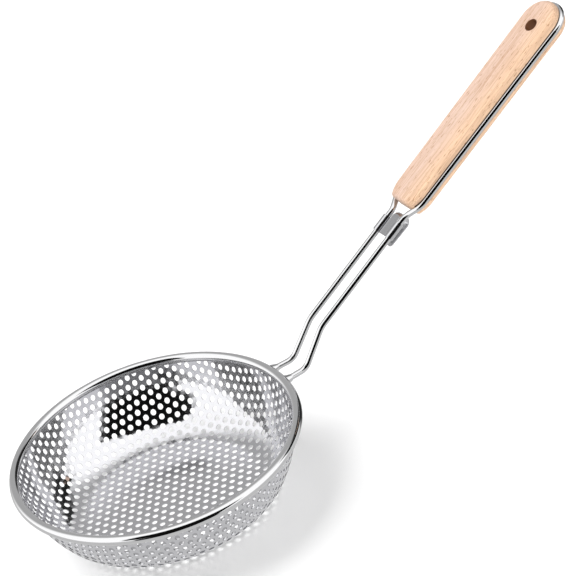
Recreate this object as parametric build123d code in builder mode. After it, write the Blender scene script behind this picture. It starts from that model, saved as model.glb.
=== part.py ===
from build123d import *
from math import asin, atan2, ceil, cos, degrees, hypot, radians, sin, sqrt, tan
import os

# A spider skimmer: a shallow perforated bowl with a bound rim, a long wire handle welded to the
# rim, a spring clip that hooks on a pot, and a wooden grip held inside the wire's closed end.
# Lengths are in millimetres. The origin is the middle of the bowl's flat underside, +Z is up,
# +X runs towards the grip, and the object mirrors about y = 0 apart from its punched holes.

os.makedirs("parts", exist_ok=True)

# Bowl, pressed from punched sheet
sheet = 0.5
floor_radius = 44.0
corner_radius = 20.5
hole_diameter = 3.0
hole_pitch = 4.95
hole_row_turn = -3.0
first_hole_x = -1.1
first_hole_y = -1.5
corner_stretch = 1.023
wall_stretch = 1.078

# Rim, a folded strip closed round a ring of wire and the bowl's edge
rim_diameter = 150.0
rim_height = 34.9
rim_wire_diameter = 3.8
band_sheet = 0.6

# Handle wire, one length bent double
wire_diameter = 3.2
feet_spacing = 13.6
bend_spacing = 12.8
neck_spacing = 11.2
stub_length = 11.0
stub_bend_radius = 7.0
rise_length = 22.4
rise_slope = 49.3
elbow_radius = 16.0
handle_slope = 29.4
neck_length = 69.5
spread_length = 8.8
spread_radius = 9.0
weld_length = 2.2
weld_throat = 1.1

# Grip
grip_length = 126.1
grip_near_width = 22.2
grip_far_width = 24.0
grip_thickness = 10.8
grip_start = 74.4
grip_edge_radius = 2.3
near_face_width = 16.2
near_taper_length = 9.0
near_corner_radius = 2.4
wire_proud = 1.5
hanging_hole_diameter = 7.0
hanging_hole_inset = 15.7

# Hook clip
clip_sheet = 0.6
clip_start = 55.8
clip_length = 9.3
seam_width = 0.6
hook_width = 5.2
hook_tip_width = 4.0
curl_start = 66.4
curl_radius = 3.8
hook_length = 13.0

# Clearances, and one overrun for every cut
fit_gap = 0.05
overrun = 10.0

# Places that the pieces share
bead_radius = rim_wire_diameter / 2 + band_sheet
rim_radius = rim_diameter / 2 - bead_radius
wire_radius = wire_diameter / 2

# The bowl's wall is a zone of a sphere about the axis. It leaves the corner at wall_slope, and
# its inner face meets the rim wire's inner side just below the binding.
seat_radius = rim_radius - rim_wire_diameter / 2
seat_height = rim_height - bead_radius
corner_height = sheet + corner_radius
drop = seat_height - corner_height
reach = (seat_radius**2 + drop**2 - floor_radius**2 - corner_radius**2) / (2 * floor_radius)
wall_angle = atan2(drop, reach) + asin(corner_radius / hypot(drop, reach))
wall_slope = degrees(wall_angle)
wall_radius = floor_radius / sin(wall_angle) + corner_radius
wall_height = corner_height + floor_radius * cos(wall_angle) / sin(wall_angle)


def wall_point(radius, angle):
    """A point of the wall's section, at this angle up from straight below the sphere's centre."""
    return (radius * sin(angle), wall_height - radius * cos(angle))


def bowl_outline(grow):
    """Draw the sheet's section, thicker by grow on both faces."""
    inner = wall_radius - grow
    outer = wall_radius + sheet + grow
    corner = (floor_radius, corner_height)
    inner_top = asin((rim_height - wall_height) / inner) + radians(90)
    outer_top = asin((rim_height - wall_height) / outer) + radians(90)
    Line((0, sheet + grow), (floor_radius, sheet + grow))
    CenterArc(corner, corner_radius - grow, -90, wall_slope)
    ThreePointArc(
        wall_point(inner, wall_angle),
        wall_point(inner, (wall_angle + inner_top) / 2),
        wall_point(inner, inner_top),
    )
    Line(wall_point(inner, inner_top), wall_point(outer, outer_top))
    ThreePointArc(
        wall_point(outer, outer_top),
        wall_point(outer, (wall_angle + outer_top) / 2),
        wall_point(outer, wall_angle),
    )
    CenterArc(corner, corner_radius + sheet + grow, -90, wall_slope)
    Line((floor_radius, -grow), (0, -grow))
    Line((0, -grow), (0, sheet + grow))


# Punched holes. The rows are straight on the flat blank, and run on under the rim's binding.
# Pressing stretches the blank over the corner and the wall, and lays each hole at its own distance
# along the bowl's section. Every punch is square to the sheet.
corner_blank = corner_radius * wall_angle / corner_stretch
seat_angle = asin((seat_height - wall_height) / wall_radius) + radians(90)
wall_blank = wall_radius * (seat_angle - wall_angle) / wall_stretch
last_hole = floor_radius + corner_blank + wall_blank + hole_diameter / 2
punch_length = 4 * sheet
row_count = ceil(last_hole / hole_pitch * 2 / sqrt(3)) + 1


def punch_place(x, y):
    """Where a hole of the flat blank lies on the pressed bowl."""
    run = hypot(x, y)
    heading = atan2(y, x)
    if run <= floor_radius:
        out, up, tilt = run, sheet / 2, 0
    elif run <= floor_radius + corner_blank:
        tilt = (run - floor_radius) * corner_stretch / corner_radius
        out = floor_radius + corner_radius * sin(tilt)
        up = corner_height - corner_radius * cos(tilt)
    else:
        tilt = wall_angle + (run - floor_radius - corner_blank) * wall_stretch / wall_radius
        out, up = wall_point(wall_radius, tilt)
    spot = Location((out * cos(heading), out * sin(heading), up), (0, 0, degrees(heading)))
    return spot * Location((0, 0, 0), (0, -degrees(tilt), 0))


punches = []
turn = radians(hole_row_turn)
for row in range(-row_count, row_count + 1):
    for step in range(-2 * row_count, 2 * row_count + 1):
        along = hole_pitch * (step + row / 2)
        across = hole_pitch * sqrt(3) / 2 * row
        x = first_hole_x + along * cos(turn) - across * sin(turn)
        y = first_hole_y + along * sin(turn) + across * cos(turn)
        if hypot(x, y) <= last_hole:
            punches.append(punch_place(x, y) * Cylinder(hole_diameter / 2, punch_length))

# Bowl
with BuildPart() as bowl:
    with BuildSketch(Plane.XZ):
        with BuildLine():
            bowl_outline(0)
        make_face()
        with Locations((rim_radius, rim_height)):
            Circle(rim_wire_diameter / 2 + fit_gap, mode=Mode.SUBTRACT)
    revolve(axis=Axis.Z)
    add(punches, mode=Mode.SUBTRACT, clean=False)
bowl.part.label = "bowl"
export_step(bowl.part, "parts/bowl.step", write_pcurves=False)

# Ring of wire that stiffens the rim
with BuildPart() as rim_wire:
    with BuildSketch(Plane.XZ):
        with Locations((rim_radius, rim_height)):
            Circle(rim_wire_diameter / 2)
    revolve(axis=Axis.Z)
rim_wire.part.label = "rim_wire"
export_step(rim_wire.part, "parts/rim_wire.step")

# Strip closed round that ring, with a slot below where the bowl's edge goes in
with BuildPart() as rim_band:
    with BuildSketch(Plane.XZ):
        with Locations((rim_radius, rim_height)):
            Circle(bead_radius)
            Circle(rim_wire_diameter / 2 + fit_gap, mode=Mode.SUBTRACT)
        with BuildLine():
            bowl_outline(fit_gap)
        make_face(mode=Mode.SUBTRACT)
    revolve(axis=Axis.Z)
rim_band.part.label = "rim_band"
export_step(rim_band.part, "parts/rim_band.step")

# The handle's own plane: its middle line from the elbow to the grip's end, with x along the
# handle, y across it, and z out of the grip's upper face
foot_x = sqrt((rim_diameter / 2) ** 2 - (feet_spacing / 2 - wire_radius) ** 2) + 2 * fit_gap
bend_x = rim_diameter / 2 + stub_length
rise = radians(rise_slope)
slope = radians(handle_slope)
elbow_x = bend_x + rise_length * cos(rise)
elbow_z = rim_height + rise_length * sin(rise)
handle_plane = Plane(
    origin=(elbow_x, 0, elbow_z), x_dir=(cos(slope), 0, sin(slope)), z_dir=(-sin(slope), 0, cos(slope))
)
grip_end = grip_start + grip_length
tip_radius = grip_far_width / 2
tip_centre = grip_end - tip_radius
loop_radius = tip_radius + wire_proud - wire_radius

# The grip widens a little towards its round end, so its straight sides lean by side_lean
side_start = (grip_start + near_taper_length, grip_near_width / 2)
side_run = tip_centre - side_start[0]
side_angle = asin(tip_radius / hypot(side_run, side_start[1])) - atan2(side_start[1], side_run)
side_lean = degrees(side_angle)


def side_end(radius):
    """Where a side that leans by side_lean meets a round end of this radius."""
    return (tip_centre - radius * sin(side_angle), radius * cos(side_angle))


# Half of the wire's middle line, from its far end to its foot at the rim
foot = tuple(handle_plane.to_local_coords(Vector(foot_x, feet_spacing / 2, rim_height)))
bend = tuple(handle_plane.to_local_coords(Vector(bend_x, bend_spacing / 2, rim_height)))
elbow = (0, neck_spacing / 2)
neck = (neck_length, neck_spacing / 2)
loop_end = side_end(loop_radius)
spread_end = neck_length + spread_length
spread = (spread_end, loop_end[1] - (loop_end[0] - spread_end) * tan(side_angle))
with BuildLine(handle_plane) as half_line:
    CenterArc((tip_centre, 0), loop_radius, 0, 90 + side_lean)
    FilletPolyline(
        loop_end,
        spread,
        neck,
        elbow,
        bend,
        foot,
        radius=[spread_radius, spread_radius, elbow_radius, stub_bend_radius],
    )
half_path = half_line.line

with BuildPart() as handle_wire:
    with BuildSketch(Plane(origin=half_path @ 0, z_dir=half_path % 0)):
        Circle(wire_radius)
    sweep(path=half_path)
    mirror(about=Plane.XZ)
handle_wire.part.label = "handle_wire"
export_step(handle_wire.part, "parts/handle_wire.step")

# Weld beads, a collar round each foot that fills the corner to the rim
stub_line = half_path % 1
with BuildPart() as weld_beads:
    foot_plane = Plane(origin=half_path @ 1, z_dir=-stub_line)
    with BuildSketch(foot_plane.offset(-weld_throat)):
        Circle(wire_radius + weld_throat)
    with BuildSketch(foot_plane.offset(weld_length)):
        Circle(wire_radius + 2 * fit_gap)
    loft()
    with BuildSketch(foot_plane.offset(-overrun)):
        Circle(wire_radius + fit_gap)
    extrude(amount=2 * overrun, mode=Mode.SUBTRACT)
    with BuildSketch(Plane.XZ):
        with Locations((rim_radius, rim_height)):
            Circle(bead_radius + fit_gap)
    revolve(axis=Axis.Z, mode=Mode.SUBTRACT)
    mirror(about=Plane.XZ)
weld_beads.part.label = "weld_beads"
export_step(weld_beads.part, "parts/weld_beads.step")

# Wooden grip, drilled to hang, with a groove round its edge that is open to the side and round at
# its bottom, where the wire lies
channel_radius = wire_radius + fit_gap
groove_reach = 2 * wire_diameter
with BuildLine(handle_plane) as groove_line:
    CenterArc((tip_centre, 0), loop_radius, 0, 90 + side_lean)
    FilletPolyline(loop_end, spread, neck, elbow, radius=spread_radius)
groove_path = groove_line.line
with BuildPart() as grip:
    with BuildSketch(handle_plane.offset(-grip_thickness / 2)):
        with BuildLine():
            near_edge = Line((grip_start, 0), (grip_start, near_face_width / 2))
            side = Line(side_start, side_end(tip_radius))
            TangentArc(side_start, near_edge @ 1, tangent=side % 0 * -1)
            CenterArc((tip_centre, 0), tip_radius, 0, 90 + side_lean)
            mirror(about=Plane.XZ)
        make_face()
        fillet(vertices().group_by(Axis.X)[0], radius=near_corner_radius)
    extrude(amount=grip_thickness)
    across = Axis(handle_plane.origin, handle_plane.z_dir)
    broad_faces = faces().sort_by(across)
    fillet(broad_faces[0].edges() + broad_faces[-1].edges(), radius=grip_edge_radius)
    for path in (groove_path, groove_path.mirror(Plane.XZ)):
        with BuildSketch(Plane(origin=path @ 0, x_dir=handle_plane.x_dir, z_dir=path % 0)):
            Circle(channel_radius)
            with Locations((groove_reach / 2, 0)):
                Rectangle(groove_reach, 2 * channel_radius)
        sweep(path=path, mode=Mode.SUBTRACT)
    with BuildSketch(handle_plane.offset(-grip_thickness)):
        with Locations((grip_end - hanging_hole_inset, 0)):
            Circle(hanging_hole_diameter / 2)
    extrude(amount=2 * grip_thickness, mode=Mode.SUBTRACT)
grip.part.label = "grip"
export_step(grip.part, "parts/grip.step")

# Hook clip: a web between two sleeves rolled round the wires, whose tab curls over to the back
# and runs down as a hook that sits on a pot's rim
sleeve_radius = channel_radius + clip_sheet
sleeve_plane = Plane(
    origin=handle_plane.from_local_coords(Vector(clip_start, 0, 0)), x_dir=(0, 1, 0), z_dir=handle_plane.x_dir
)
hook_plane = Plane(origin=handle_plane.origin, x_dir=handle_plane.x_dir, z_dir=(0, -1, 0))
with BuildPart() as hook_clip:
    with BuildSketch(sleeve_plane):
        Rectangle(neck_spacing, clip_sheet)
        with GridLocations(neck_spacing, 0, 2, 1):
            Circle(sleeve_radius)
            Circle(channel_radius, mode=Mode.SUBTRACT)
        with Locations((neck_spacing / 2, -sleeve_radius), (-neck_spacing / 2, -sleeve_radius)):
            Rectangle(seam_width, 2 * sleeve_radius - channel_radius, mode=Mode.SUBTRACT)
    extrude(amount=clip_length)
    with BuildSketch(hook_plane):
        with BuildLine():
            Line((clip_start + clip_length - clip_sheet, 0), (curl_start, 0))
            CenterArc((curl_start, -curl_radius), curl_radius, 90, -180)
            Line((curl_start, -2 * curl_radius), (curl_start - hook_length, -2 * curl_radius))
        trace(line_width=clip_sheet)
    extrude(amount=hook_width / 2, both=True)
    hook_tip = curl_start - hook_length
    with BuildSketch(handle_plane.offset(-curl_radius)):
        with BuildLine():
            Polyline(
                (curl_start, hook_width / 2),
                (hook_tip, hook_tip_width / 2),
                (hook_tip, hook_width),
                (curl_start, hook_width),
                close=True,
            )
        make_face()
        mirror(about=Plane.XZ)
    extrude(amount=-curl_radius - clip_sheet, mode=Mode.SUBTRACT)
    along = Axis(handle_plane.origin, handle_plane.x_dir)
    tip_edges = edges().filter_by(across).sort_by(along)[:2]
    fillet(tip_edges, radius=hook_tip_width / 2 - fit_gap)
hook_clip.part.label = "hook_clip"
export_step(hook_clip.part, "parts/hook_clip.step")
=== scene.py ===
import math

import bpy
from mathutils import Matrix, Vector


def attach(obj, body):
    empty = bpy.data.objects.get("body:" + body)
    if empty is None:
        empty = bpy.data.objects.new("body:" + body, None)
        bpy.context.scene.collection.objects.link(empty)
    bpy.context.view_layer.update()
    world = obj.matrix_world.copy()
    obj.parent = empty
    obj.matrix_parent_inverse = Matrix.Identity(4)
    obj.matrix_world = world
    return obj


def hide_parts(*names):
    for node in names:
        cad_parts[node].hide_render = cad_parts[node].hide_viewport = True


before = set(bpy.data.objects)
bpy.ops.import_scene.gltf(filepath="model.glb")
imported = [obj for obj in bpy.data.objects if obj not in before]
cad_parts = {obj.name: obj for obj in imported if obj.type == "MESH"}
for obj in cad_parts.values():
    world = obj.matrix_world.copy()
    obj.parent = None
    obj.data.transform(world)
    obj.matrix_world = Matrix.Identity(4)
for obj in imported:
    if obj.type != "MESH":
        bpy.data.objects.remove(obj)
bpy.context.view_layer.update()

# Camera: a long lens, well back from the skimmer and a little left of it, looking down on it.
# Its place is in the model's own frame, and its turn is about X, Y and Z.
camera_place = (-0.3195, -1.0168, 0.7614)
camera_turn = (56.972, 14.132, -31.043)
camera_lens = 162.78
camera_film = 36
nearest_seen = 0.05
farthest_seen = 50

lens = bpy.data.cameras.new("camera")
lens.lens = camera_lens
lens.sensor_width = camera_film
lens.clip_start = nearest_seen
lens.clip_end = farthest_seen
camera = bpy.data.objects.new("camera", lens)
camera.location = camera_place
camera.rotation_euler = [math.radians(angle) for angle in camera_turn]
bpy.context.scene.collection.objects.link(camera)
bpy.context.scene.camera = camera

# Bowl: one sheet of stainless steel, punched flat in staggered rows and then pressed to a flat
# floor, a round corner and a dished wall. Its edge goes up into the rim's binding.
mm = 0.001
sheet = 0.5 * mm
floor_radius = 44 * mm
corner_radius = 20.5 * mm
hole_diameter = 3 * mm
hole_pitch = 4.95 * mm
hole_row_turn = math.radians(-3)
first_hole = (-1.1 * mm, -1.5 * mm, 0)
corner_stretch = 1.023
wall_stretch = 1.078
rim_diameter = 150 * mm
rim_height = 34.9 * mm
rim_wire_diameter = 3.8 * mm
band_sheet = 0.6 * mm
edge_in_binding = 1.3 * mm
hole_sides = 24
rim_sides = 480

# The pressed section: the wall is an arc that leaves the corner without a kink and ends at its
# seat, where the sheet goes into the binding
bead_radius = rim_wire_diameter / 2 + band_sheet
seat_radius = rim_diameter / 2 - bead_radius - rim_wire_diameter / 2
seat_height = rim_height - bead_radius
corner_height = sheet + corner_radius
drop = seat_height - corner_height
reach = (seat_radius**2 + drop**2 - floor_radius**2 - corner_radius**2) / (2 * floor_radius)
wall_angle = math.atan2(drop, reach) + math.asin(corner_radius / math.hypot(drop, reach))
wall_radius = floor_radius / math.sin(wall_angle) + corner_radius
wall_height = corner_height + floor_radius / math.tan(wall_angle)
seat_angle = math.asin((seat_height - wall_height) / wall_radius) + math.pi / 2

# The flat blank: each zone of it is shorter than the pressed one by that zone's stretch
corner_blank = corner_radius * wall_angle / corner_stretch
wall_blank = wall_radius * (seat_angle - wall_angle) / wall_stretch
seat_blank = floor_radius + corner_blank + wall_blank
blank_radius = seat_blank + edge_in_binding / (wall_stretch * math.sin(seat_angle))

# Rows of holes run on until the last hole that shows below the binding. Their counts are odd, so
# that one hole is at the middle, and have a few to spare for the shift of every second row.
last_hole = seat_blank + hole_diameter / 2
row_pitch = hole_pitch * math.sqrt(3) / 2
rows = 2 * math.ceil(last_hole / row_pitch) + 3
holes_in_row = 2 * math.ceil(last_hole / hole_pitch) + 5


def add_node(tree, kind, inputs=None, **settings):
    """Add a node. Settings are its own properties. Inputs are values, or sockets or nodes to link."""
    node = tree.nodes.new(kind)
    for name, value in settings.items():
        setattr(node, name, value)
    for name, value in (inputs or {}).items():
        source = value.outputs[0] if isinstance(value, bpy.types.Node) else value
        if isinstance(source, bpy.types.NodeSocket):
            tree.links.new(source, node.inputs[name])
        else:
            node.inputs[name].default_value = source
    return node


def linear(hex_colour):
    """A colour written as sRGB hex, in the linear values that a shader takes."""
    shares = [int(hex_colour[place : place + 2], 16) / 255 for place in (1, 3, 5)]
    return [s / 12.92 if s <= 0.04045 else ((s + 0.055) / 1.055) ** 2.4 for s in shares] + [1]


def new_material(name, colour, roughness, metallic=0):
    """A material of one shader, and the tree, the shader and the object's places to add detail to."""
    material = bpy.data.materials.new(name)
    material.use_nodes = True
    tree = material.node_tree
    tree.nodes.clear()
    shader = add_node(tree, "ShaderNodeBsdfPrincipled", {
        "Base Color": linear(colour),
        "Roughness": roughness,
        "Metallic": metallic,
    })
    add_node(tree, "ShaderNodeOutputMaterial", {"Surface": shader})
    place = add_node(tree, "ShaderNodeTexCoord").outputs["Object"]
    return material, tree, shader, place


# Punched stainless sheet, polished before pressing: bright, with a faint cloudiness left by the
# rolls, so its reflections are a little softer than the wire's. The press burnished the corner and
# the wall, and the flat floor, which it didn't stretch, mirrors less.
cloud_size = 9 * mm
brightest_gloss = 0.06
dullest_gloss = 0.13
floor_dullness = 0.07
floor_blend = 4 * mm
ripple_size = 2.5 * mm
ripple_depth = 0.02 * mm
punched_steel, tree, shader, place = new_material("polished_punched_stainless", "#CFCFD2", 0.1, 1)
clouds = add_node(tree, "ShaderNodeTexNoise", {"Vector": place, "Scale": 1 / cloud_size, "Detail": 3})
gloss = add_node(tree, "ShaderNodeMapRange", {
    "Value": clouds,
    "To Min": brightest_gloss,
    "To Max": dullest_gloss,
})
place_parts = add_node(tree, "ShaderNodeSeparateXYZ", {0: place}).outputs
flat_place = add_node(tree, "ShaderNodeCombineXYZ", {"X": place_parts["X"], "Y": place_parts["Y"]})
from_middle = add_node(tree, "ShaderNodeVectorMath", {0: flat_place}, operation="LENGTH")
unworked = add_node(tree, "ShaderNodeMapRange", {
    "Value": from_middle.outputs["Value"],
    "From Min": floor_radius + floor_blend,
    "From Max": floor_radius - floor_blend,
    "To Max": floor_dullness,
})
dullness = add_node(tree, "ShaderNodeMath", {0: gloss, 1: unworked}, operation="ADD")
tree.links.new(dullness.outputs[0], shader.inputs["Roughness"])
ripple = add_node(tree, "ShaderNodeTexNoise", {"Vector": place, "Scale": 1 / ripple_size, "Detail": 1})
dents = add_node(tree, "ShaderNodeBump", {"Height": ripple, "Distance": ripple_depth})
tree.links.new(dents.outputs[0], shader.inputs["Normal"])

press = bpy.data.node_groups.new("punched_and_pressed_bowl", "GeometryNodeTree")
press.interface.new_socket("Sheet", in_out="OUTPUT", socket_type="NodeSocketGeometry")
bowl_sizes = {
    "Thickness": sheet,
    "Floor radius": floor_radius,
    "Corner radius": corner_radius,
    "Corner centre height": corner_height,
    "Corner blank": corner_blank,
    "Corner stretch": corner_stretch,
    "Wall radius": wall_radius,
    "Wall centre height": wall_height,
    "Wall angle": wall_angle,
    "Wall stretch": wall_stretch,
    "Blank radius": blank_radius,
    "Trim radius": blank_radius * math.cos(math.pi / rim_sides),
    "Last hole": last_hole,
    "Hole radius": hole_diameter / 2,
    "Row length": hole_pitch * (holes_in_row - 1),
    "Row pitch": row_pitch,
    "Row shift": hole_pitch / 2,
    "Row turn": hole_row_turn,
    "Width of rows": row_pitch * (rows - 1),
}
socket_of = {
    name: press.interface.new_socket(name, in_out="INPUT", socket_type="NodeSocketFloat").identifier
    for name in bowl_sizes
}
size = add_node(press, "NodeGroupInput").outputs

# Rows of hole centres on the flat blank, every second row shifted by half a pitch
lattice = add_node(press, "GeometryNodeMeshGrid", {
    "Size X": size["Row length"],
    "Size Y": size["Width of rows"],
    "Vertices X": holes_in_row,
    "Vertices Y": rows,
})
spot = add_node(press, "GeometryNodeInputPosition")
spot_parts = add_node(press, "ShaderNodeSeparateXYZ", {0: spot}).outputs
row_share = add_node(press, "ShaderNodeMath", {0: spot_parts["Y"], 1: size["Row pitch"]}, operation="DIVIDE")
row_number = add_node(press, "ShaderNodeMath", {0: row_share}, operation="ROUND")
odd_row = add_node(press, "ShaderNodeMath", {0: row_number, 1: 2}, operation="FLOORED_MODULO")
shift = add_node(press, "ShaderNodeMath", {0: odd_row, 1: size["Row shift"]}, operation="MULTIPLY")
staggered = add_node(press, "GeometryNodeSetPosition", {
    "Geometry": lattice,
    "Offset": add_node(press, "ShaderNodeCombineXYZ", {"X": shift}),
})
turned = add_node(press, "GeometryNodeTransform", {
    "Geometry": staggered,
    "Translation": first_hole,
    "Rotation": add_node(press, "ShaderNodeCombineXYZ", {"Z": size["Row turn"]}),
})
spot_run = add_node(press, "ShaderNodeVectorMath", {0: spot}, operation="LENGTH").outputs["Value"]
too_far = add_node(press, "ShaderNodeMath", {0: spot_run, 1: size["Last hole"]}, operation="GREATER_THAN")
centres = add_node(press, "GeometryNodeDeleteGeometry", {"Geometry": turned, "Selection": too_far})

# The blank with its punched holes. A punch that meets the edge leaves a notch, so what it fills
# past the edge is taken away. The edge has flat sides, and the trim radius is that of their middles.
punch = add_node(press, "GeometryNodeCurvePrimitiveCircle", {
    "Resolution": hole_sides,
    "Radius": size["Hole radius"],
})
punched = add_node(press, "GeometryNodeInstanceOnPoints", {"Points": centres, "Instance": punch})
punched_outlines = add_node(press, "GeometryNodeRealizeInstances", {0: punched})
blank_edge = add_node(press, "GeometryNodeCurvePrimitiveCircle", {
    "Resolution": rim_sides,
    "Radius": size["Blank radius"],
})
outlines = add_node(press, "GeometryNodeJoinGeometry")
press.links.new(punched_outlines.outputs[0], outlines.inputs[0])
press.links.new(blank_edge.outputs[0], outlines.inputs[0])
blank = add_node(press, "GeometryNodeFillCurve", {"Curve": outlines}, mode="TRIANGLES")
past_edge = add_node(press, "ShaderNodeMath", {0: spot_run, 1: size["Trim radius"]}, operation="GREATER_THAN")
trimmed = add_node(press, "GeometryNodeDeleteGeometry", {
    "Geometry": blank,
    "Selection": past_edge,
}, domain="FACE")

# The blank gets its thickness while it is still flat
speck = sheet / 1000
thick = add_node(press, "GeometryNodeExtrudeMesh", {
    "Mesh": trimmed,
    "Offset": (0, 0, 1),
    "Offset Scale": size["Thickness"],
    "Individual": False,
})
underside = add_node(press, "GeometryNodeFlipFaces", {0: trimmed})
both_faces = add_node(press, "GeometryNodeJoinGeometry")
press.links.new(thick.outputs["Mesh"], both_faces.inputs[0])
press.links.new(underside.outputs[0], both_faces.inputs[0])
slab = add_node(press, "GeometryNodeMergeByDistance", {"Geometry": both_faces, "Distance": speck})

# Pressing: a point of the blank keeps its heading, and its run from the middle is laid along the
# floor, then the corner, then the wall. Its tilt is how far the sheet has turned up by then.
flat_spot = add_node(press, "ShaderNodeCombineXYZ", {"X": spot_parts["X"], "Y": spot_parts["Y"]})
run = add_node(press, "ShaderNodeVectorMath", {0: flat_spot}, operation="LENGTH").outputs["Value"]
beyond_floor = add_node(press, "ShaderNodeMath", {0: run, 1: size["Floor radius"]}, operation="SUBTRACT")
past_floor = add_node(press, "ShaderNodeMath", {0: beyond_floor, 1: 0}, operation="MAXIMUM")
arc_run = add_node(press, "ShaderNodeMath", {0: past_floor, 1: size["Corner stretch"]}, operation="MULTIPLY")
corner_bend = add_node(press, "ShaderNodeMath", {0: arc_run, 1: size["Corner radius"]}, operation="DIVIDE")
corner_tilt = add_node(press, "ShaderNodeMath", {0: corner_bend, 1: size["Wall angle"]}, operation="MINIMUM")
beyond = add_node(press, "ShaderNodeMath", {0: past_floor, 1: size["Corner blank"]}, operation="SUBTRACT")
past_corner = add_node(press, "ShaderNodeMath", {0: beyond, 1: 0}, operation="MAXIMUM")
wall_run = add_node(press, "ShaderNodeMath", {0: past_corner, 1: size["Wall stretch"]}, operation="MULTIPLY")
wall_bend = add_node(press, "ShaderNodeMath", {0: wall_run, 1: size["Wall radius"]}, operation="DIVIDE")
tilt = add_node(press, "ShaderNodeMath", {0: corner_tilt, 1: wall_bend}, operation="ADD")

# The corner turns about a ring above the floor's edge, and the wall about a point on the bowl's axis
on_wall = add_node(press, "ShaderNodeMath", {0: past_corner, 1: 0}, operation="GREATER_THAN")
on_floor_or_corner = add_node(press, "ShaderNodeMath", {0: 1, 1: on_wall}, operation="SUBTRACT")
floor_run = add_node(press, "ShaderNodeMath", {0: run, 1: size["Floor radius"]}, operation="MINIMUM")
ring_run = add_node(press, "ShaderNodeMath", {0: floor_run, 1: on_floor_or_corner}, operation="MULTIPLY")
bend_radius = add_node(press, "GeometryNodeSwitch", {
    "Switch": on_wall,
    "False": size["Corner radius"],
    "True": size["Wall radius"],
}, input_type="FLOAT")
bend_height = add_node(press, "GeometryNodeSwitch", {
    "Switch": on_wall,
    "False": size["Corner centre height"],
    "True": size["Wall centre height"],
}, input_type="FLOAT")
depth = add_node(press, "ShaderNodeMath", {0: size["Thickness"], 1: spot_parts["Z"]}, operation="SUBTRACT")
face_radius = add_node(press, "ShaderNodeMath", {0: bend_radius, 1: depth}, operation="ADD")
tilt_sine = add_node(press, "ShaderNodeMath", {0: tilt}, operation="SINE")
tilt_cosine = add_node(press, "ShaderNodeMath", {0: tilt}, operation="COSINE")
outward = add_node(press, "ShaderNodeMath", {0: face_radius, 1: tilt_sine}, operation="MULTIPLY")
downward = add_node(press, "ShaderNodeMath", {0: face_radius, 1: tilt_cosine}, operation="MULTIPLY")
pressed_run = add_node(press, "ShaderNodeMath", {0: ring_run, 1: outward}, operation="ADD")
height = add_node(press, "ShaderNodeMath", {0: bend_height, 1: downward}, operation="SUBTRACT")

# At the very middle the run is nothing, and dividing by a speck instead leaves the point in place
safe_run = add_node(press, "ShaderNodeMath", {0: run, 1: speck}, operation="MAXIMUM")
stretch = add_node(press, "ShaderNodeMath", {0: pressed_run, 1: safe_run}, operation="DIVIDE")
pressed_spot = add_node(press, "ShaderNodeCombineXYZ", {
    "X": add_node(press, "ShaderNodeMath", {0: spot_parts["X"], 1: stretch}, operation="MULTIPLY"),
    "Y": add_node(press, "ShaderNodeMath", {0: spot_parts["Y"], 1: stretch}, operation="MULTIPLY"),
    "Z": height,
})
pressed = add_node(press, "GeometryNodeSetPosition", {"Geometry": slab, "Position": pressed_spot})

# Punched edges stay sharp, and the pressed faces are smooth
sharp_angle = math.radians(40)
edge_bend = add_node(press, "GeometryNodeInputMeshEdgeAngle").outputs["Unsigned Angle"]
smooth_faces = add_node(press, "GeometryNodeSetShadeSmooth", {"Geometry": pressed}, domain="FACE")
crisp = add_node(press, "GeometryNodeSetShadeSmooth", {
    "Geometry": smooth_faces,
    "Selection": add_node(press, "ShaderNodeMath", {0: edge_bend, 1: sharp_angle}, operation="GREATER_THAN"),
    "Shade Smooth": False,
}, domain="EDGE")
realized = add_node(press, "GeometryNodeRealizeInstances", {0: crisp})
finished = add_node(press, "GeometryNodeSetMaterial", {"Geometry": realized, "Material": punched_steel})
add_node(press, "NodeGroupOutput", {0: finished})


def made_by(tree, name, sizes, sockets):
    """Run a Geometry Nodes tree with these sizes and keep its result as a plain mesh object."""
    holder = bpy.data.objects.new(name + "_maker", bpy.data.meshes.new(name + "_maker"))
    bpy.context.scene.collection.objects.link(holder)
    modifier = holder.modifiers.new("maker", "NODES")
    modifier.node_group = tree
    for size_name, value in sizes.items():
        modifier[sockets[size_name]] = value
    graph = bpy.context.evaluated_depsgraph_get()
    mesh = bpy.data.meshes.new_from_object(holder.evaluated_get(graph), depsgraph=graph)
    mesh.name = name
    bpy.data.objects.remove(holder)
    piece = bpy.data.objects.new(name, mesh)
    bpy.context.scene.collection.objects.link(piece)
    return piece


bowl_sheet = made_by(press, "bowl_sheet", bowl_sizes, socket_of)
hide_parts("bowl")
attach(bowl_sheet, "root")

# Rim: a strip of bright stainless steel closed round a ring of wire and the bowl's edge, and
# rolled tight, so it looks like one smooth bead.
#
# Bright drawn stainless, as wire and as strip: almost a mirror, with long thin highlights and a
# slight haze left by the polishing.
haze_size = 5 * mm
clearest_haze = 0.04
dimmest_haze = 0.1
bright_steel, tree, shader, place = new_material("bright_drawn_stainless", "#D4D4D5", 0.07, 1)
haze = add_node(tree, "ShaderNodeTexNoise", {"Vector": place, "Scale": 1 / haze_size, "Detail": 4})
gloss = add_node(tree, "ShaderNodeMapRange", {"Value": haze, "To Min": clearest_haze, "To Max": dimmest_haze})
tree.links.new(gloss.outputs[0], shader.inputs["Roughness"])


def finish_node(name, material):
    """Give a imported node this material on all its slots."""
    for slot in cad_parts[name].material_slots:
        slot.material = material


finish_node("rim_band", bright_steel)
finish_node("rim_wire", bright_steel)

# Handle wire and its welds: one length of drawn stainless wire, polished, bent double to a loop
# and fused to the rim at both feet. It has the rim's bright finish.
finish_node("handle_wire", bright_steel)
finish_node("weld_beads", bright_steel)

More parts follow.
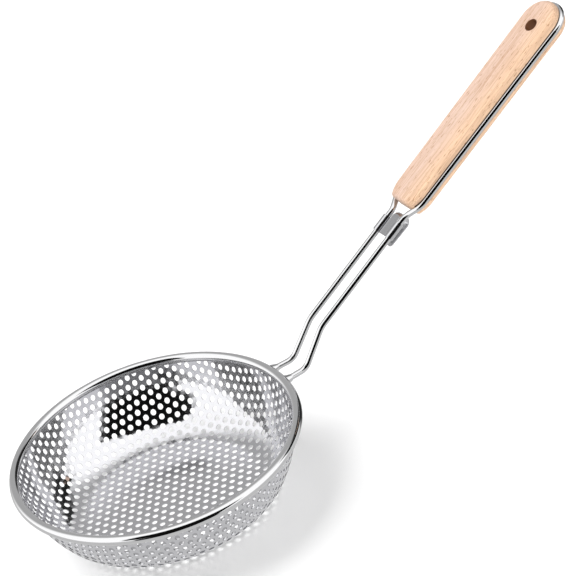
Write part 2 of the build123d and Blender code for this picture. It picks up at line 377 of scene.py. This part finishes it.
# Grip: a block of steamed beech, sanded smooth and oiled, with the wire lying in its groove and a
# hole drilled through to hang it.
handle_slope = math.radians(29.4)
elbow_place = (100.6 * mm, 0, 51.9 * mm)
end_face_place = 76 * mm
hole_from_elbow = 184.8 * mm
hanging_hole_diameter = 7 * mm
bore_shade_blend = 0.15 * mm
groove_edge = 1.65 * mm
shade_line_fades = 0.65 * mm
shade_line_full = 0.25 * mm
edge_shade_from = 2 * mm
edge_shade_to = -9 * mm
band_length = 90 * mm
band_width = 5 * mm
fibre_length = 8 * mm
fibre_width = 0.3 * mm
fibre_depth = 0.03 * mm
fibre_strength = 0.6

# Beech: pale and pinkish, with growth streaks a few millimetres apart, fine fibres and short dark ray
# # flecks, all along the grip. A warmer, lighter tint across the grip towards its -Y edge is painted
# # shading of that rounded edge. Sanding and oil leave it a soft sheen.
beech, tree, shader, place = new_material("sanded_beech", "#D4BAAB", 0.5)
grain = add_node(tree, "ShaderNodeMapping", {
    "Vector": place,
    "Location": elbow_place,
    "Rotation": (0, -handle_slope, 0),
}, vector_type="TEXTURE")
grain_parts = add_node(tree, "ShaderNodeSeparateXYZ", {0: grain}).outputs


def grain_noise(length, width, detail, wander=0.0):
    """Noise drawn out along the grain, with marks about this long and this wide."""
    stretched = add_node(tree, "ShaderNodeMapping", {
        "Vector": grain,
        "Scale": (1 / length, 1 / width, 1 / width),
    })
    settings = {"Vector": stretched, "Scale": 1, "Detail": detail, "Distortion": wander}
    return add_node(tree, "ShaderNodeTexNoise", settings).outputs["Fac"]


def wood_mix(share, low, high, colour, other):
    """Mix a second colour in, where this share rises from low to high."""
    mask = add_node(tree, "ShaderNodeMapRange", {"Value": share, "From Min": low, "From Max": high})
    inputs = {"Factor": mask, 6: colour, 7: other}
    return add_node(tree, "ShaderNodeMix", inputs, data_type="RGBA").outputs[2]


# Streaks, fibres and flecks: their length, width, detail and wander, the shares of the noise where
# they begin and are full, and their colour
marks = (
    (45 * mm, 1.3 * mm, 4, 0.3, 0.5, 0.75, "#BF9D86"),
    (14 * mm, 0.5 * mm, 2, 0, 0.35, 0.9, "#B38E72"),
    (3.6 * mm, 0.55 * mm, 1, 0, 0.63, 0.74, "#9C7250"),
)
bands = grain_noise(band_length, band_width, 3, 0.4)
wood = wood_mix(bands, 0.35, 0.7, linear("#D4BAAB"), linear("#CBAE9C"))
# Painted shading: a warmer, lighter tint across the grip towards its -Y edge, for the light on that rounded
# edge
wood = wood_mix(grain_parts["Y"], edge_shade_from, edge_shade_to, wood, linear("#E2BE9E"))
for length, width, detail, wander, low, high, colour in marks:
    wood = wood_mix(grain_noise(length, width, detail, wander), low, high, wood, linear(colour))

# Painted shade: a thin dark line on both edges of the wire's groove stands in for the contact shadow
# # between wood and wire. The end face, where the wire stands clear of the wood, has none.
off_middle = add_node(tree, "ShaderNodeMath", {0: grain_parts["Z"]}, operation="ABSOLUTE")
at_end = add_node(tree, "ShaderNodeMath", {0: grain_parts["X"], 1: end_face_place}, operation="LESS_THAN")
edge_height = add_node(tree, "ShaderNodeMath", {0: off_middle, 1: at_end}, operation="ADD")
wood = wood_mix(edge_height, groove_edge + shade_line_fades, groove_edge + shade_line_full, wood, linear("#2E2018"))

# Painted shade: the hanging hole's wall is coloured dark brown for the shadow inside the bore
flat_grain = add_node(tree, "ShaderNodeCombineXYZ", {"X": grain_parts["X"], "Y": grain_parts["Y"]})
bore_run = add_node(tree, "ShaderNodeVectorMath", {
    0: flat_grain,
    1: (hole_from_elbow, 0, 0),
}, operation="DISTANCE").outputs["Value"]
bore_edge = hanging_hole_diameter / 2
wood = wood_mix(bore_run, bore_edge + bore_shade_blend, bore_edge, wood, linear("#70492F"))
tree.links.new(wood, shader.inputs["Base Color"])
fibres = add_node(tree, "ShaderNodeBump", {
    "Height": grain_noise(fibre_length, fibre_width, 2),
    "Distance": fibre_depth,
    "Strength": fibre_strength,
})
tree.links.new(fibres.outputs[0], shader.inputs["Normal"])
finish_node("grip", beech)

# Hook clip: thin stainless sheet, rolled round both wires as two sleeves and curled over to a hook
# behind them, so the skimmer can hang on a pot's rim.
#
# Tumbled stainless: the clip was tumbled after bending, which leaves it bright but a little hazy,
# so it mirrors in broad soft patches.
scuff_size = 0.8 * mm
lightest_scuff = 0.1
heaviest_scuff = 0.2
tumbled_steel, tree, shader, place = new_material("tumbled_stainless", "#C8C8CA", 0.15, 1)
scuffs = add_node(tree, "ShaderNodeTexNoise", {"Vector": place, "Scale": 1 / scuff_size, "Detail": 4})
gloss = add_node(tree, "ShaderNodeMapRange", {
    "Value": scuffs,
    "To Min": lightest_scuff,
    "To Max": heaviest_scuff,
})
tree.links.new(gloss.outputs[0], shader.inputs["Roughness"])
finish_node("hook_clip", tumbled_steel)

# Floor: a wide sweep of matt white paper. It glows more the further it lies from the skimmer, so
# that the far part stays as white as the part under the lamps.
floor_half = 6
glow_from = 0.35
glow_to = 1.6
far_glow = 0.8
paper, tree, shader, place = new_material("white_paper", "#F6F6F6", 0.9)
shader.inputs["Emission Color"].default_value = (1, 1, 1, 1)
away = add_node(tree, "ShaderNodeVectorMath", {0: place}, operation="LENGTH").outputs["Value"]
glow = add_node(tree, "ShaderNodeMapRange", {
    "Value": away,
    "From Min": glow_from,
    "From Max": glow_to,
    "To Max": far_glow,
})
tree.links.new(glow.outputs[0], shader.inputs["Emission Strength"])
floor_corners = [
    (x * floor_half, y * floor_half, 0)
    for x, y in ((-1, -1), (1, -1), (1, 1), (-1, 1))
]
floor_mesh = bpy.data.meshes.new("floor")
floor_mesh.from_pydata(floor_corners, [], [(0, 1, 2, 3)])
floor_mesh.materials.append(paper)
floor = bpy.data.objects.new("floor", floor_mesh)
floor.visible_glossy = False
bpy.context.scene.collection.objects.link(floor)

# Studio: a bright white room, with a greyer backdrop behind the object. The room is dark round the
# camera and at a door on the right, which polished steel shows as black.
room_light = 1.5
light_below = 0.75
light_on_matt = 0.38
light_seen = 1.2
horizon_blend = 0.03
# heading from +Y towards +X, height, roll, half width, half height, soft edge, light
cards = (
    (26, 26, 0, 50, 40, 30, 0.54),
    (198, 31, 25, 37, 28, 4, 0.006),
    (202, -3, 0, 30, 14, 4, 0.006),
    (86, 20, 0, 17, 15, 5, 0.02),
    (62, 5, 0, 13, 34, 8, 0.03),
)
world = bpy.data.worlds.new("studio")
bpy.context.scene.world = world
world.use_nodes = True
tree = world.node_tree
tree.nodes.clear()
direction = add_node(tree, "ShaderNodeTexCoord").outputs["Generated"]


def card(heading, height, roll, half_width, half_height, soft):
    """1 where a direction meets a card in the room and 0 past its soft edge, all in degrees."""
    turn, lift, tilt = math.radians(heading), math.radians(height), math.radians(roll)
    facing = Vector((math.sin(turn) * math.cos(lift), math.cos(turn) * math.cos(lift), math.sin(lift)))
    level = Vector((math.cos(turn), -math.sin(turn), 0))
    upright = level.cross(facing)
    side = level * math.cos(tilt) + upright * math.sin(tilt)
    top = upright * math.cos(tilt) - level * math.sin(tilt)
    dots = [
        add_node(tree, "ShaderNodeVectorMath", {0: direction, 1: axis}, operation="DOT_PRODUCT")
        for axis in (facing, side, top)
    ]
    ahead, across, up = [dot.outputs["Value"] for dot in dots]
    masks = []
    for part, half in ((across, half_width), (up, half_height)):
        angle = add_node(tree, "ShaderNodeMath", {0: part, 1: ahead}, operation="ARCTAN2")
        masks.append(add_node(tree, "ShaderNodeMapRange", {
            "Value": add_node(tree, "ShaderNodeMath", {0: angle}, operation="ABSOLUTE"),
            "From Min": math.radians(half + soft / 2),
            "From Max": math.radians(half - soft / 2),
        }, interpolation_type="SMOOTHSTEP"))
    return add_node(tree, "ShaderNodeMath", dict(enumerate(masks)), operation="MULTIPLY")


sky = add_node(tree, "ShaderNodeSeparateXYZ", {0: direction}).outputs["Z"]
below = add_node(tree, "ShaderNodeMapRange", {
    "Value": sky,
    "From Min": horizon_blend,
    "From Max": -horizon_blend,
})
light = add_node(tree, "ShaderNodeMix", {0: below, 2: room_light, 3: light_below}, data_type="FLOAT")
for heading, height, roll, half_width, half_height, soft, level in cards:
    inside = card(heading, height, roll, half_width, half_height, soft)
    light = add_node(tree, "ShaderNodeMix", {0: inside, 2: light, 3: level}, data_type="FLOAT")

# Matt surfaces get less light from the room than steel mirrors, which keeps the shadow dark
ray = add_node(tree, "ShaderNodeLightPath").outputs
for ray_kind, level in (("Is Diffuse Ray", light_on_matt), ("Is Camera Ray", light_seen)):
    light = add_node(tree, "ShaderNodeMix", {0: ray[ray_kind], 2: light, 3: level}, data_type="FLOAT")
background = add_node(tree, "ShaderNodeBackground", {"Color": (1, 1, 1, 1), "Strength": light})
add_node(tree, "ShaderNodeOutputWorld", {"Surface": background})
bpy.context.scene.view_settings.view_transform = "Standard"


def soft_box(name, width, energy, place, casts_shadow):
    """A square lamp that faces the skimmer and isn't seen in the steel."""
    lamp = bpy.data.lights.new(name, "AREA")
    lamp.size = width
    lamp.energy = energy
    lamp.use_shadow = casts_shadow
    stand = bpy.data.objects.new(name, lamp)
    stand.location = place
    stand.rotation_euler = Vector(place).to_track_quat("Z", "Y").to_euler()
    stand.visible_glossy = False
    bpy.context.scene.collection.objects.link(stand)


# Lamps: a large soft box at the left, above the object, whose shadow falls to the right, and one
# low at the front, which lights the side of the grip and casts no shadow
soft_box("key", 2.4, 74, (-0.8, 1.2, 1.85), True)
soft_box("fill", 1.2, 24, (0.2, -1.9, 0.8), False)
